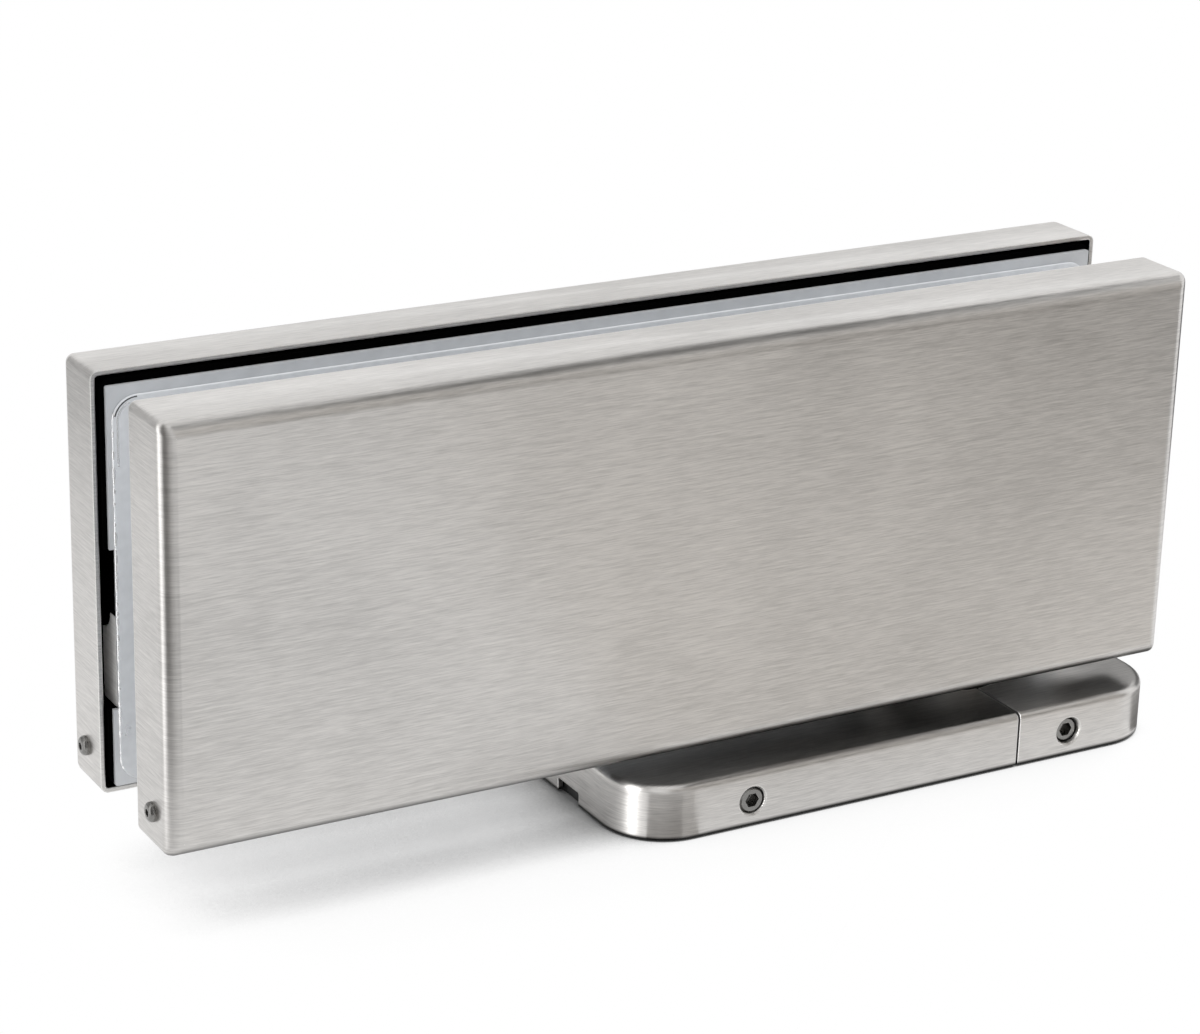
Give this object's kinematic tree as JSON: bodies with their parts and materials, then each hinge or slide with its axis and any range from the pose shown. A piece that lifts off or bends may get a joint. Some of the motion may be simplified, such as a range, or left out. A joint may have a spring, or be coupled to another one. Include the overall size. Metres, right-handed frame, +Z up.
{
  "type": "door pivot hinge",
  "caption": "Bottom clamp hinge for a frameless glass door: steel pan covers over clamp bodies, turning freely on a spindle that stands on a low screwed-down floor base.",
  "frame": {"origin": "pivot axis at floor level, on the underside of the spindle's foot", "axes": "+X along the covers to the hinge edge of the door, +Y to the back, +Z up the pivot axis"},
  "size_m": [0.2072, 0.0492, 0.0916],
  "materials": {
    "satin_steel": "satin brushed stainless steel",
    "black_casting": "matt black coated aluminium casting",
    "grey_plate": "plain light grey plate",
    "glass_pad": "smooth grey pad",
    "bar_steel": "bright rolled steel",
    "screw_steel": "turned stainless steel",
    "black_bolt": "black oxide steel",
    "sleeve_plastic": "natural nylon",
    "machined_steel": "machined steel",
    "dark_steel": "dark phosphated steel",
    "bush_bronze": "sintered bronze",
    "bearing_steel": "ground bearing steel",
    "cage_brass": "stamped brass",
    "seal_rubber": "black rubber"
  },
  "bodies": {
    "base": {"floor_plate": "dark_steel", "pivot_spindle": "machined_steel", "thrust_lower_race": "bearing_steel", "base_shell": "satin_steel", "base_end_cap": "satin_steel", "base_shell_set_screws": "screw_steel", "end_cap_set_screws": "screw_steel"},
    "door": {"front_cover": "satin_steel", "rear_cover": "satin_steel", "front_body": "black_casting", "rear_body": "black_casting", "front_backing_plate": "grey_plate", "rear_backing_plate": "grey_plate", "front_glass_pad": "glass_pad", "rear_glass_pad": "glass_pad", "front_carrier_bar": "bar_steel", "rear_carrier_bar": "bar_steel", "front_cover_screws": "screw_steel", "rear_cover_screws": "screw_steel", "clamp_bolts": "black_bolt", "clamp_sleeves": "sleeve_plastic", "pivot_block": "machined_steel", "pivot_block_screws": "black_bolt", "lower_bush": "bush_bronze", "upper_bush": "bush_bronze", "thrust_upper_race": "bearing_steel", "dust_seal": "seal_rubber"},
    "ball_cage": {"thrust_ball_cage": "cage_brass", "thrust_balls": "bearing_steel"}
  },
  "joints": [
    {"name": "door_swing", "type": "hinge", "parent": "base", "child": "door", "pos_m": [0, 0, 0], "axis": [0, 0, 1], "range_deg": [-90, 90]},
    {"name": "cage_roll", "type": "hinge", "parent": "base", "child": "ball_cage", "pos_m": [0, 0, 0], "axis": [0, 0, 1], "range_deg": [-45, 45]}
  ],
  "couplings": [
    {"joint": "cage_roll", "follows": "door_swing", "ratio": 0.5}
  ]
}
